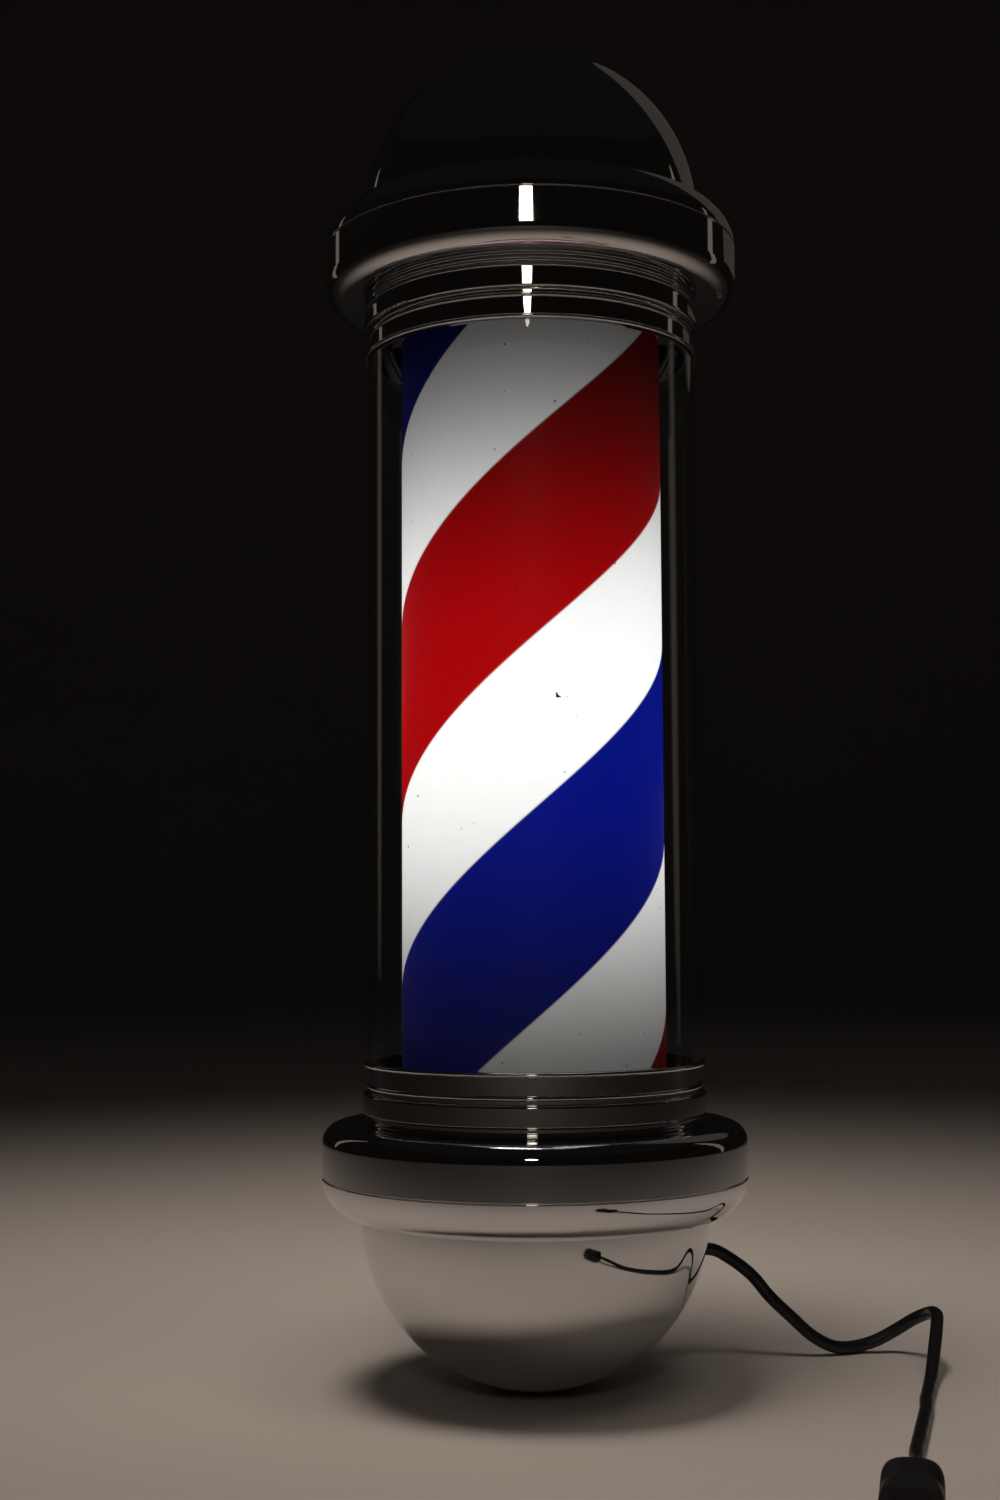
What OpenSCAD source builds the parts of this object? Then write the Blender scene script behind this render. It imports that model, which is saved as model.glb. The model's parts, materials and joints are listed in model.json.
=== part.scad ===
// Wall-mounted barber pole light. A lit drum with helical stripes turns inside a clear tube
// that stands between two domed chrome caps, and two steel brackets hold the caps off a wall.
// The origin is the centre of the four wall-screw holes, on the wall plane.
// +X is to the right as seen from the room, +Y points into the wall and +Z is up.

/* [Overall] */
// Height of clear tube that shows between the two caps
window_h = 352; // [320:1:400]
// Distance from the wall plane to the pole's axis
axis_to_wall = 125; // [120:1:150]

/* [Clear tube] */
// Outer radius of the clear tube
tube_r = 83; // [82.6:0.1:83]
// Wall of the clear tube
tube_wall = 2.5; // [2:0.1:2.6]

/* [Striped drum] */
// Outer radius of the printed film on the drum
drum_r = 65.6; // [62:0.1:66]
// Thickness of the printed film
film_t = 0.3; // [0.2:0.05:0.5]
// Wall of the drum's carrier tube
drum_wall = 1.4; // [1:0.1:2]

/* [Caps] */
// Radius of the thin lip that frames the clear tube
lip_r = 85; // [84.6:0.1:86]
// Radius of the collar's neck
neck_r = 82; // [81.6:0.1:82.4]
// Radius of the wide ring, the widest part of each cap
ring_r = 105; // [105:0.5:110]
// Outer radius of each dome
dome_r = 86; // [86:0.5:87]
// Wall of the chrome shells
shell_t = 1.6; // [1.2:0.1:1.8]

/* [Drive] */
// Gear module
gear_module = 1.25; // [1.2:0.05:1.25]
// Teeth on the drum gear
gear_teeth = 64; // [60:4:64]
// Teeth on the motor pinion
pinion_teeth = 16; // [16:2:18]
// Backlash at the pitch circle
backlash = 0.25; // [0.15:0.05:0.4]

/* [Lamp] */
// Light-emitting diodes on each of the four boards
leds_per_board = 14; // [6:1:16]
// Distance between two diodes
led_pitch = 16; // [10:1:16]

/* [Wall brackets] */
// Distance between the two screw holes of a bracket, across the wall
wall_hole_x = 60; // [50:1:62]
// Radius of a wall-screw hole
wall_hole_r = 3; // [2:0.1:3.5]
// Width of the bracket's foot on the wall
foot_w = 84; // [80:1:100]
// Width of the bracket's arm
arm_w = 50; // [46:1:50]

/* [Cord] */
// Radius of the power cord
cord_r = 3.25; // [3:0.05:3.4]
// Direction of the cord exit on the lower dome, turned from +X towards the wall
exit_turn = 35; // [30:1:40]
// Fall of the cord exit below the horizontal
exit_fall = 15; // [12:1:18]

/* [Hidden] */

$fn = 96;
eps = 0.01;
half_window = window_h / 2;

// Heights inside a cap are depths, measured from the lip away from the clear tube.
lip_h = 2;
shelf_t = 2.6;
seal_t = 0.8;
groove_depth = 1.6;
groove_wall = 1.6;
groove_in_r = tube_r - tube_wall - 0.3;
groove_out_r = tube_r + 0.3;
shelf_hole_r = groove_in_r - groove_wall;
collar_h = 30;
flange_in_r = 70;
flange_t = 2;
ring_flange_t = shell_t;
band_top = 39;
band_end = 56;
shoulder_r = band_top - collar_h;
ring_end = 75;
round_r = ring_end - band_end;
dome_depth = 74;
rim_depth = ring_end + 0.1;
skirt_r = dome_r - 1.9;
skirt_top = 66;
plate_top = 40;
plate_t = 3;
plate_r = 94;
plate_bottom = plate_top + plate_t;
cap_h = dome_depth + dome_r;
floor_z = -half_window - cap_h;

// Screws that clamp the collar, the ring and the base plate together
frame_screw_circle = 75;
frame_screw_turns = [45, 135, 225, 315];
screw_r = 2;
spacer_r = 4.5;
nut_h = 3.2;
nut_r = 4.04;
head_h = 2.6;
head_r = 4;
// Gap around a screw in its hole, and between pieces that stand one in the other
hole_gap = 0.2;
fit_gap = 0.05;

// Centre post
post_r = 10;
post_wall = 1.5;
post_end = 58;
post_flange_r = 20;
post_flange_h = 3;
post_sleeve_r = 13;
post_screw_circle = 16.5;
post_screw_turns = [30, 150, 270];
small_screw_r = 1.5;
small_head_r = 2.8;
small_head_h = 1.8;
set_screw_depth = 51;

// Drum
drum_end = 9;
disc_t = 3;
spigot_h = 6;
hub_r = 17;
bush_r = 13;
bush_flange_r = 16;
bush_flange_t = 1.5;
running_gap = 0.06;
lower_hub_end = 38.2;
upper_hub_end = 24;
washer_t = 1.5;
vent_r = 8;
vent_circle = 42;

// Drive
gear_from = 27;
gear_w = 8;
pinion_from = 26;
pinion_w = 10;
centre_distance = gear_module * (gear_teeth + pinion_teeth) / 2;
motor_turn = 180;
motor_r = 25;
motor_h = 20;
motor_boss_r = 8;
motor_boss_h = 5;
motor_ear_y = 31;
motor_ear_r = 5;
motor_ear_t = 1.5;
shaft_r = 3;
shaft_gap = 0.05;
shaft_floor = 5;

// Lamp
carrier_side = 26;
board_w = 20;
board_t = 1.6;
board_end = 9;
board_len = (leds_per_board - 1) * led_pitch + 2 * board_end;
carrier_len = board_len + 14;
led_side = 5;
led_t = 1.2;
board_gap = 0.02;

// Electrical parts under the lower base plate
driver_size = [24, 60, 20];
driver_x = 50;
driver_tab_y = 36;
driver_tab_t = 1.5;
block_y = -52;
block_pole = 11;
block_size = [3 * block_pole, 16, 12];
block_tower_h = 3;
block_screw_r = 1.8;
block_bottom = plate_bottom + block_size.z;
lead_r = 1.6;
supply_r = 3;

// Wall brackets
arm_t = 3;
arm_y = 28;
foot_h = 43;
foot_corner_r = 8;
bend_r = 6;
wall_hole_depth = 24;
arm_bolt = [15, 60];
bolt_r = 2.5;
bolt_head_r = 4.6;
bolt_head_h = 3.5;
bolt_nut_h = 4;
bolt_tail = 1.5;
bolt_nut_r = 4.62;

// Cord exit, as distances from the dome's centre along the exit's axis
gland_r = 6;
gland_flange_r = 9.5;
gland_in = 78;
gland_flange_from = dome_r - 0.15;
gland_flange_t = 2.2;
boot_from = gland_flange_from + gland_flange_t;
boot_len = 24;
boot_r = 6.2;
boot_end_r = 4.4;
boot_end = boot_from + boot_len;
straight_run = 12;
exit_dir = [
    cos(exit_fall) * cos(exit_turn),
    cos(exit_fall) * sin(exit_turn),
    -sin(exit_fall)
];

// Plug: a moulded body with two flat blades and a round earth pin, lying on its side
plug_rear = [143, -208, 12];
plug_turn = 12;
plug_w = 24.5;
plug_h = 24;
plug_len = 45;
plug_shoulder_r = 9;
blade_len = 17;
blade_w = 6.35;
blade_t = 1.5;
blade_gap = 12.7;
blade_y = 1;
earth_r = 2.4;
earth_len = 20;
earth_drop = 7.5;

// Route of the cord on the surface below the pole: x and y from the pole's axis, and height
// above the lowest point of the dome.
cord_route = [
    [114, 72, 42.5],
    [124, 69, 31],
    [135, 69, 20.5],
    [147, 68, 10],
    [160, 71, 4],
    [175, 76, 4.5],
    [189, 76, 10.5],
    [200, 69, 19],
    [206, 57, 24.5],
    [206, 41, 26.5],
    [203, 28, 22],
    [199, 16, 13],
    [195, 3, 6],
    [191, -11, 4],
    [187, -26, 3.5],
    [183, -41, 3.5],
    [180, -56, 3.5],
    [176, -71, 3.5],
    [172, -86, 3.5],
    [168, -101, 3.5],
    [164, -116, 3.5],
    [160, -131, 3.5],
    [157, -146, 4],
    [153, -162, 6.5],
    [149, -177, 9.5],
    [145, -193, 11.5],
    [143, -208, 12]
];

// ---- Placing ----

module on_pole() {
    translate([0, -axis_to_wall, 0]) children();
}

// Children are drawn for the lower cap: the lip is at z = 0 and depths run towards -Z.
module lower_cap() {
    on_pole() translate([0, 0, -half_window]) children();
}

module upper_cap() {
    on_pole() translate([0, 0, half_window]) mirror([0, 0, 1]) children();
}

module both_caps() {
    lower_cap() children();
    upper_cap() children();
}

// A cylinder that runs between two depths inside a cap
module depth_cylinder(r, from, to) {
    translate([0, 0, -to]) cylinder(r = r, h = to - from);
}

// A hexagonal nut between two depths inside a cap, without its thread hole
module depth_hexagon(r, from, to) {
    translate([0, 0, -to]) cylinder(r = r, h = to - from, $fn = 6);
}

module around(turns, circle) {
    for (turn = turns) rotate(turn) translate([circle, 0, 0]) children();
}

module along_exit() {
    lower_cap() translate([0, 0, -dome_depth]) rotate([0, 90 + exit_fall, exit_turn]) children();
}

// ---- Caps ----

// A quarter of a round shell's section, centred on the origin
module quarter_arc(r, down) {
    intersection() {
        difference() {
            circle(r = r);
            circle(r = r - shell_t);
        }
        translate([0, down ? -r : 0]) square(r);
    }
}

module ring_shell() {
    edge_groove_r = 0.7;
    mouth_r = skirt_r + 0.2;
    rotate_extrude() difference() {
        union() {
            translate([flange_in_r, -collar_h - shell_t])
                square([ring_r - shoulder_r - flange_in_r, shell_t]);
            translate([ring_r - shoulder_r, -band_top]) quarter_arc(shoulder_r, false);
            translate([ring_r - shell_t, -band_end]) square([shell_t, band_end - band_top]);
            translate([ring_r - round_r, -band_end]) quarter_arc(round_r, true);
            translate([mouth_r, -ring_end]) square([ring_r - round_r - mouth_r, shell_t]);
        }
        translate([ring_r, -band_end]) circle(r = edge_groove_r);
    }
}

module ring_with_holes() {
    slot_gap = 0.4;
    slot_reach = 12;
    slot_size = [arm_w + 2 * slot_gap, slot_reach + 8, arm_t + 2 * slot_gap];
    difference() {
        ring_shell();
        around(frame_screw_turns, frame_screw_circle)
            depth_cylinder(screw_r + hole_gap, collar_h - 1, collar_h + ring_flange_t + 1);
        translate([-slot_size.x / 2, ring_r - slot_reach, -plate_bottom - arm_t - slot_gap])
            cube(slot_size);
    }
}

module collar() {
    lip_round_r = lip_h / 2;
    bead_r = 1.2;
    neck_bead = 11.8;
    band_from = 16;
    band_to = 24.4;
    foot_bead = 28.4;
    groove_end = band_from + 1;
    step_r = lip_r - bead_r;
    groove_r = neck_r - 0.4;
    foot_r = neck_r + 0.8;
    inner_r = neck_r - shell_t;
    difference() {
        rotate_extrude() difference() {
            union() {
                translate([0, -lip_h]) square([lip_r - lip_round_r, lip_h]);
                translate([lip_r - lip_round_r, -lip_round_r]) circle(r = lip_round_r);
                translate([0, -neck_bead]) square([neck_r, neck_bead - lip_h / 2]);
                translate([neck_r, -neck_bead]) circle(r = bead_r);
                translate([0, -groove_end]) square([groove_r, groove_end - lip_h]);
                translate([0, -band_to]) square([lip_r, band_to - band_from]);
                translate([step_r, -band_from]) circle(r = bead_r);
                translate([step_r, -band_to]) circle(r = bead_r);
                translate([0, -collar_h]) square([foot_r, collar_h - band_from]);
                translate([foot_r, -foot_bead]) circle(r = bead_r);
            }
            translate([0, -collar_h + flange_t]) square([inner_r, collar_h - flange_t - shelf_t]);
            translate([0, -collar_h - 1]) square([flange_in_r, flange_t + 2]);
            translate([0, -shelf_t - 1]) square([shelf_hole_r, shelf_t + 2]);
            translate([groove_in_r, -groove_depth])
                square([groove_out_r - groove_in_r, groove_depth + 1]);
        }
        around(frame_screw_turns, frame_screw_circle)
            depth_cylinder(screw_r + hole_gap, collar_h - flange_t - 1, collar_h + 1);
    }
}

module tube_seal() {
    difference() {
        depth_cylinder(groove_out_r, groove_depth - seal_t, groove_depth);
        depth_cylinder(groove_in_r, groove_depth - seal_t - 1, groove_depth + 1);
    }
}

module dome_shell() {
    translate([0, 0, -dome_depth]) difference() {
        sphere(r = dome_r);
        sphere(r = dome_r - shell_t);
        translate([0, 0, dome_r - (rim_depth - dome_depth)])
            cube([3 * dome_r, 3 * dome_r, 2 * dome_r], center = true);
    }
    rim_h = 2;
    skirt_in_r = skirt_r - 1.5;
    rotate_extrude() {
        translate([skirt_in_r, -rim_depth - rim_h]) square([dome_r - 0.4 - skirt_in_r, rim_h]);
        translate([skirt_in_r, -rim_depth - 1]) square([skirt_r - skirt_in_r, rim_depth + 1 - skirt_top]);
    }
}

module base_plate(has_drive) {
    difference() {
        depth_cylinder(plate_r, plate_top, plate_bottom);
        depth_cylinder(post_r + hole_gap, plate_top - 1, plate_bottom + 1);
        around(frame_screw_turns, frame_screw_circle)
            depth_cylinder(screw_r + hole_gap, plate_top - 1, plate_bottom + 1);
        around(post_screw_turns, post_screw_circle)
            depth_cylinder(small_screw_r + hole_gap, plate_top - 1, plate_bottom + 1);
        for (side = [-1, 1]) translate([side * arm_bolt.x, arm_bolt.y, 0])
            depth_cylinder(bolt_r + hole_gap, plate_top - 1, plate_bottom + 1);
        if (has_drive) {
            around([motor_turn], centre_distance) {
                depth_cylinder(motor_boss_r + hole_gap, plate_top - 1, plate_bottom + 1);
                for (side = [-1, 1]) translate([0, side * motor_ear_y, 0])
                    depth_cylinder(small_screw_r + hole_gap, plate_top - 1, plate_bottom + 1);
            }
            for (side = [-1, 1]) translate([driver_x, side * driver_tab_y, 0])
                depth_cylinder(small_screw_r + hole_gap, plate_top - 1, plate_bottom + 1);
        }
    }
}

module lower_dome() {
    color("silver") difference() {
        lower_cap() dome_shell();
        along_exit() translate([0, 0, gland_in]) cylinder(r = gland_r + hole_gap, h = boot_from - gland_in);
    }
}

module upper_dome() {
    color("silver") upper_cap() dome_shell();
}

module lower_ring() {
    color("silver") lower_cap() ring_with_holes();
}

module upper_ring() {
    color("silver") upper_cap() ring_with_holes();
}

module lower_collar() {
    color("gainsboro") lower_cap() collar();
}

module upper_collar() {
    color("gainsboro") upper_cap() collar();
}

module lower_tube_seal() {
    color("dimgray") lower_cap() tube_seal();
}

module upper_tube_seal() {
    color("dimgray") upper_cap() tube_seal();
}

module lower_base_plate() {
    color("lightslategray") lower_cap() base_plate(true);
}

module upper_base_plate() {
    color("lightslategray") upper_cap() base_plate(false);
}

module plate_spacers() {
    color("darkgray") both_caps() around(frame_screw_turns, frame_screw_circle) difference() {
        depth_cylinder(spacer_r, collar_h + ring_flange_t, plate_top);
        depth_cylinder(screw_r + hole_gap, collar_h, plate_top + 1);
    }
}

module frame_screws() {
    shank_top = collar_h - flange_t - nut_h - 1;
    color("gray") both_caps() around(frame_screw_turns, frame_screw_circle) {
        depth_cylinder(screw_r, shank_top, plate_bottom + eps);
        depth_cylinder(head_r, plate_bottom, plate_bottom + head_h);
    }
}

module frame_nuts() {
    nut_end = collar_h - flange_t;
    color("gray") both_caps() around(frame_screw_turns, frame_screw_circle) difference() {
        depth_hexagon(nut_r, nut_end - nut_h, nut_end);
        depth_cylinder(screw_r + fit_gap, nut_end - nut_h - 1, nut_end + 1);
    }
}

// ---- Clear tube and centre post ----

module outer_tube() {
    tube_end = half_window + groove_depth - seal_t;
    color("aliceblue", 0.25) on_pole() translate([0, 0, -tube_end]) difference() {
        cylinder(r = tube_r, h = 2 * tube_end);
        translate([0, 0, -1]) cylinder(r = tube_r - tube_wall, h = 2 * tube_end + 2);
    }
}

module center_post() {
    post_half = half_window + post_end;
    color("lightgray") on_pole() translate([0, 0, -post_half]) difference() {
        cylinder(r = post_r, h = 2 * post_half);
        translate([0, 0, -1]) cylinder(r = post_r - post_wall, h = 2 * post_half + 2);
    }
}

module post_flange() {
    sleeve_h = 13;
    difference() {
        union() {
            depth_cylinder(post_flange_r, plate_bottom, plate_bottom + post_flange_h);
            depth_cylinder(post_sleeve_r, plate_bottom, plate_bottom + sleeve_h);
        }
        depth_cylinder(post_r + fit_gap, plate_bottom - 1, plate_bottom + sleeve_h + 1);
        around(post_screw_turns, post_screw_circle)
            depth_cylinder(small_screw_r + hole_gap, plate_bottom - 1, plate_bottom + post_flange_h + 1);
        translate([0, 0, -set_screw_depth]) rotate([90, 0, 0])
            cylinder(r = screw_r + fit_gap, h = post_flange_r);
    }
}

module lower_post_flange() {
    color("silver") lower_cap() post_flange();
}

module upper_post_flange() {
    color("silver") upper_cap() post_flange();
}

module post_flange_screws() {
    head_from = plate_bottom + post_flange_h;
    color("gray") both_caps() around(post_screw_turns, post_screw_circle) {
        depth_cylinder(small_screw_r, plate_top + hole_gap, head_from + eps);
        depth_cylinder(small_head_r, head_from, head_from + small_head_h);
    }
}

module post_set_screws() {
    set_screw_len = 4;
    color("gray") both_caps() translate([0, -post_r - fit_gap, -set_screw_depth])
        rotate([90, 0, 0]) cylinder(r = screw_r, h = set_screw_len);
}

// ---- Drum ----

module drum_tube() {
    drum_half = half_window + drum_end;
    carrier_r = drum_r - film_t;
    color("white", 0.6) on_pole() translate([0, 0, -drum_half]) difference() {
        cylinder(r = carrier_r, h = 2 * drum_half);
        translate([0, 0, -1]) cylinder(r = carrier_r - drum_wall, h = 2 * drum_half + 2);
    }
}

module stripe_film() {
    drum_half = half_window + drum_end;
    color("firebrick") on_pole() translate([0, 0, -drum_half]) difference() {
        cylinder(r = drum_r, h = 2 * drum_half);
        translate([0, 0, -1]) cylinder(r = drum_r - film_t, h = 2 * drum_half + 2);
    }
}

module drum_disc(hub_end) {
    spigot_r = drum_r - film_t - drum_wall - fit_gap;
    spigot_t = 2;
    difference() {
        union() {
            depth_cylinder(drum_r - film_t, drum_end, drum_end + disc_t);
            depth_cylinder(spigot_r, drum_end - spigot_h, drum_end + eps);
            depth_cylinder(hub_r, drum_end, hub_end);
        }
        depth_cylinder(spigot_r - spigot_t, drum_end - spigot_h - 1, drum_end);
        depth_cylinder(bush_r, drum_end - 1, hub_end + 1);
        around([0:60:300], vent_circle) depth_cylinder(vent_r, drum_end - 1, drum_end + disc_t + 1);
    }
}

module drum_bush(hub_end) {
    difference() {
        union() {
            depth_cylinder(bush_flange_r, drum_end - bush_flange_t, drum_end);
            depth_cylinder(bush_r, drum_end - eps, hub_end);
        }
        depth_cylinder(post_r + running_gap, drum_end - bush_flange_t - 1, hub_end + 1);
    }
}

module lower_drum_disc() {
    color("ivory") lower_cap() drum_disc(lower_hub_end);
}

module upper_drum_disc() {
    color("ivory") upper_cap() drum_disc(upper_hub_end);
}

module lower_bush() {
    color("goldenrod") lower_cap() drum_bush(lower_hub_end);
}

module upper_bush() {
    color("goldenrod") upper_cap() drum_bush(upper_hub_end);
}

module thrust_washer() {
    color("khaki") lower_cap() difference() {
        depth_cylinder(bush_flange_r, plate_top - washer_t, plate_top);
        depth_cylinder(post_r + hole_gap, plate_top - washer_t - 1, plate_top + 1);
    }
}

// ---- Gears ----

pressure_angle = 20;

function involute_angle(a) = tan(a) * 180 / PI - a;

// Half of a tooth's angular width at radius r
function tooth_half_angle(teeth, r) =
    let (
        pitch_r = gear_module * teeth / 2,
        base_r = pitch_r * cos(pressure_angle),
        at_pitch = 90 / teeth - backlash / 4 / pitch_r * 180 / PI,
        slope = r <= base_r ? 0 : acos(base_r / r)
    )
    at_pitch + involute_angle(pressure_angle) - involute_angle(slope);

function polar(r, a) = [r * cos(a), r * sin(a)];

function tooth_points(teeth, turn) =
    let (
        pitch_r = gear_module * teeth / 2,
        base_r = pitch_r * cos(pressure_angle),
        root_r = pitch_r - 1.25 * gear_module,
        tip_r = pitch_r + gear_module,
        start_r = max(base_r, root_r),
        steps = 5,
        radii = [for (i = [0:steps]) start_r + (tip_r - start_r) * i / steps],
        rising = [for (r = radii) polar(r, turn - tooth_half_angle(teeth, r))],
        falling = [for (i = [steps:-1:0]) polar(radii[i], turn + tooth_half_angle(teeth, radii[i]))],
        root_half = tooth_half_angle(teeth, start_r)
    )
    concat([polar(root_r, turn - root_half)], rising, falling, [polar(root_r, turn + root_half)]);

module gear_outline(teeth) {
    polygon([for (i = [0:teeth - 1]) each tooth_points(teeth, i * 360 / teeth)]);
}

module drum_gear() {
    rim_t = 6;
    web_t = 3;
    web_hole_r = 4;
    rim_in_r = gear_module * gear_teeth / 2 - rim_t;
    hub_ring_r = hub_r + 4;
    color("whitesmoke") lower_cap() translate([0, 0, -gear_from - gear_w]) difference() {
        linear_extrude(gear_w) gear_outline(gear_teeth);
        translate([0, 0, -1]) cylinder(r = hub_r + fit_gap, h = gear_w + 2);
        translate([0, 0, web_t]) difference() {
            cylinder(r = rim_in_r, h = gear_w);
            cylinder(r = hub_ring_r, h = gear_w);
        }
        around([30:60:330], (rim_in_r + hub_ring_r) / 2) translate([0, 0, -1])
            cylinder(r = web_hole_r, h = gear_w);
    }
}

module motor_pinion() {
    // The pinion shows a tooth gap to the drum gear's tooth on the line of centres
    gap_turn = 180 + 180 / pinion_teeth;
    color("whitesmoke") lower_cap() around([motor_turn], centre_distance)
        translate([0, 0, -pinion_from - pinion_w]) difference() {
            rotate(gap_turn) linear_extrude(pinion_w) gear_outline(pinion_teeth);
            translate([0, 0, -1]) cylinder(r = shaft_r, h = pinion_w + 2);
        }
}

module motor_shaft() {
    color("silver") lower_cap() around([motor_turn], centre_distance)
        depth_cylinder(shaft_r, pinion_from - 1, plate_bottom + motor_h - shaft_floor - 1);
}

module gear_motor() {
    can_edge = 2.5;
    can_recess = 0.8;
    can_bottom = plate_bottom + motor_h;
    boss_top = plate_bottom - motor_boss_h;
    color("silver") lower_cap() around([motor_turn], centre_distance) difference() {
        union() {
            depth_cylinder(motor_r, plate_bottom, can_bottom);
            depth_cylinder(motor_boss_r, boss_top, plate_bottom + 1);
            for (side = [-1, 1]) translate([0, side * motor_ear_y, 0])
                depth_cylinder(motor_ear_r, plate_bottom, plate_bottom + motor_ear_t);
            translate([-motor_ear_r, -motor_ear_y, -plate_bottom - motor_ear_t])
                cube([2 * motor_ear_r, 2 * motor_ear_y, motor_ear_t]);
        }
        depth_cylinder(shaft_r + shaft_gap, boss_top - 1, can_bottom - shaft_floor);
        for (side = [-1, 1]) translate([0, side * motor_ear_y, 0])
            depth_cylinder(small_screw_r + hole_gap, plate_bottom - 1, plate_bottom + motor_ear_t + 1);
        depth_cylinder(motor_r - can_edge, can_bottom - can_recess, can_bottom + 1);
    }
}

module motor_screws() {
    head_from = plate_bottom + motor_ear_t;
    color("gray") lower_cap() around([motor_turn], centre_distance)
        for (side = [-1, 1]) translate([0, side * motor_ear_y, 0]) {
            depth_cylinder(small_screw_r, plate_top + hole_gap, head_from + eps);
            depth_cylinder(small_head_r, head_from, head_from + small_head_h);
        }
}

// ---- Lamp and wiring ----

module led_carrier() {
    color("lightgray") on_pole() difference() {
        cube([carrier_side, carrier_side, carrier_len], center = true);
        cylinder(r = post_r + fit_gap, h = carrier_len + 2, center = true);
    }
}

module led_boards() {
    color("white") on_pole() for (turn = [0:90:270]) rotate(turn)
        translate([carrier_side / 2 + board_gap, -board_w / 2, -board_len / 2])
            cube([board_t, board_w, board_len]);
}

module led_chips() {
    first = -(leds_per_board - 1) * led_pitch / 2;
    color("gold") on_pole() for (turn = [0:90:270]) rotate(turn) for (i = [0:leds_per_board - 1])
        translate([carrier_side / 2 + board_t + 2 * board_gap, -led_side / 2, first + i * led_pitch])
            translate([0, 0, -led_side / 2]) cube([led_t, led_side, led_side]);
}

module led_driver() {
    tab_r = 5;
    color("whitesmoke") difference() {
        lower_cap() translate([driver_x, 0, 0]) {
            translate([-driver_size.x / 2, -driver_size.y / 2, -plate_bottom - driver_size.z])
                cube(driver_size);
            translate([-tab_r, -driver_tab_y, -plate_bottom - driver_tab_t])
                cube([2 * tab_r, 2 * driver_tab_y, driver_tab_t]);
            for (side = [-1, 1]) translate([0, side * driver_tab_y, 0])
                depth_cylinder(tab_r, plate_bottom, plate_bottom + driver_tab_t);
        }
        lower_cap() for (side = [-1, 1]) translate([driver_x, side * driver_tab_y, 0])
            depth_cylinder(small_screw_r + hole_gap, plate_bottom - 1, plate_bottom + driver_tab_t + 1);
    }
}

module driver_screws() {
    head_from = plate_bottom + driver_tab_t;
    color("gray") lower_cap() for (side = [-1, 1]) translate([driver_x, side * driver_tab_y, 0]) {
        depth_cylinder(small_screw_r, plate_top + hole_gap, head_from + eps);
        depth_cylinder(small_head_r, head_from, head_from + small_head_h);
    }
}

module terminal_places() {
    for (i = [-1:1]) translate([i * block_pole, block_y, 0]) children();
}

module screw_towers() {
    tower_y = 4;
    terminal_places() for (side = [-1, 1]) translate([0, side * tower_y, 0]) children();
}

module terminal_block() {
    tower_r = 3;
    wire_hole_r = 1.8;
    color("whitesmoke") lower_cap() difference() {
        union() {
            translate([-block_size.x / 2, block_y - block_size.y / 2, -block_bottom]) cube(block_size);
            screw_towers() depth_cylinder(tower_r, block_bottom - 1, block_bottom + block_tower_h);
        }
        screw_towers()
            depth_cylinder(block_screw_r + hole_gap, block_bottom, block_bottom + block_tower_h + 1);
        terminal_places() translate([0, 0, -plate_bottom - block_size.z / 2]) rotate([90, 0, 0])
            cylinder(r = wire_hole_r, h = block_size.y + 2, center = true);
    }
}

module terminal_screws() {
    sunk = 0.8;
    color("gold") lower_cap() screw_towers()
        depth_cylinder(block_screw_r, block_bottom + 0.1, block_bottom + block_tower_h - sunk);
}

// ---- Sweeping a round tube along a list of points ----

function unit(v) = v / norm(v);

function heading(route, i) =
    let (last = len(route) - 1)
    i == 0 ? unit(route[1] - route[0])
    : i == last ? unit(route[last] - route[last - 1])
    : unit(unit(route[i + 1] - route[i]) + unit(route[i] - route[i - 1]));

// A frame carried along the route, so that the tube doesn't twist
function side_vector(route, i, before) =
    let (along = heading(route, i), flat = before - (before * along) * along)
    unit(flat);

function side_vectors(route, i = 0, found = []) =
    i == len(route) ? found
    : side_vectors(route, i + 1,
        concat(found, [side_vector(route, i, i == 0 ? [0.3, 0.2, 1] : found[i - 1])]));

module swept_tube(route, r, sides) {
    across = side_vectors(route);
    rings = [
        for (i = [0:len(route) - 1])
            let (along = heading(route, i), up = cross(along, across[i]))
            for (k = [0:sides - 1])
                route[i] + r * (cos(360 * k / sides) * across[i] + sin(360 * k / sides) * up)
    ];
    walls = [
        for (i = [0:len(route) - 2])
            for (k = [0:sides - 1])
                let (a = i * sides + k, b = i * sides + (k + 1) % sides)
                each [[a, a + sides, b + sides], [a, b + sides, b]]
    ];
    first_cap = [for (k = [0:sides - 1]) k];
    last_cap = [for (k = [sides - 1:-1:0]) (len(route) - 1) * sides + k];
    polyhedron(points = rings, faces = concat(walls, [first_cap, last_cap]));
}

lead_start_depth = block_bottom + block_tower_h;
lead_gap = 0.1;

module supply_lead() {
    start = [0, 0, -dome_depth] + (gland_in - 0.5) * exit_dir;
    color("black") lower_cap() swept_tube([
        start,
        start - 10 * exit_dir,
        [38, 14, -86],
        [26, -12, -80],
        [17, -34, -74],
        [12, -47, -71],
        [block_pole, block_y, -lead_start_depth - 6],
        [block_pole, block_y, -lead_start_depth - lead_gap]
    ], supply_r, 8);
}

module motor_lead() {
    color("steelblue") lower_cap() swept_tube([
        [-centre_distance, 0, -plate_bottom - motor_h - lead_gap],
        [-centre_distance, 0, -plate_bottom - motor_h - 3],
        [-47, -7, -70],
        [-40, -20, -73],
        [-26, -40, -72],
        [-14, -49, -67],
        [-block_pole, block_y, -lead_start_depth - 3],
        [-block_pole, block_y, -lead_start_depth - lead_gap]
    ], lead_r, 8);
}

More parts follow.
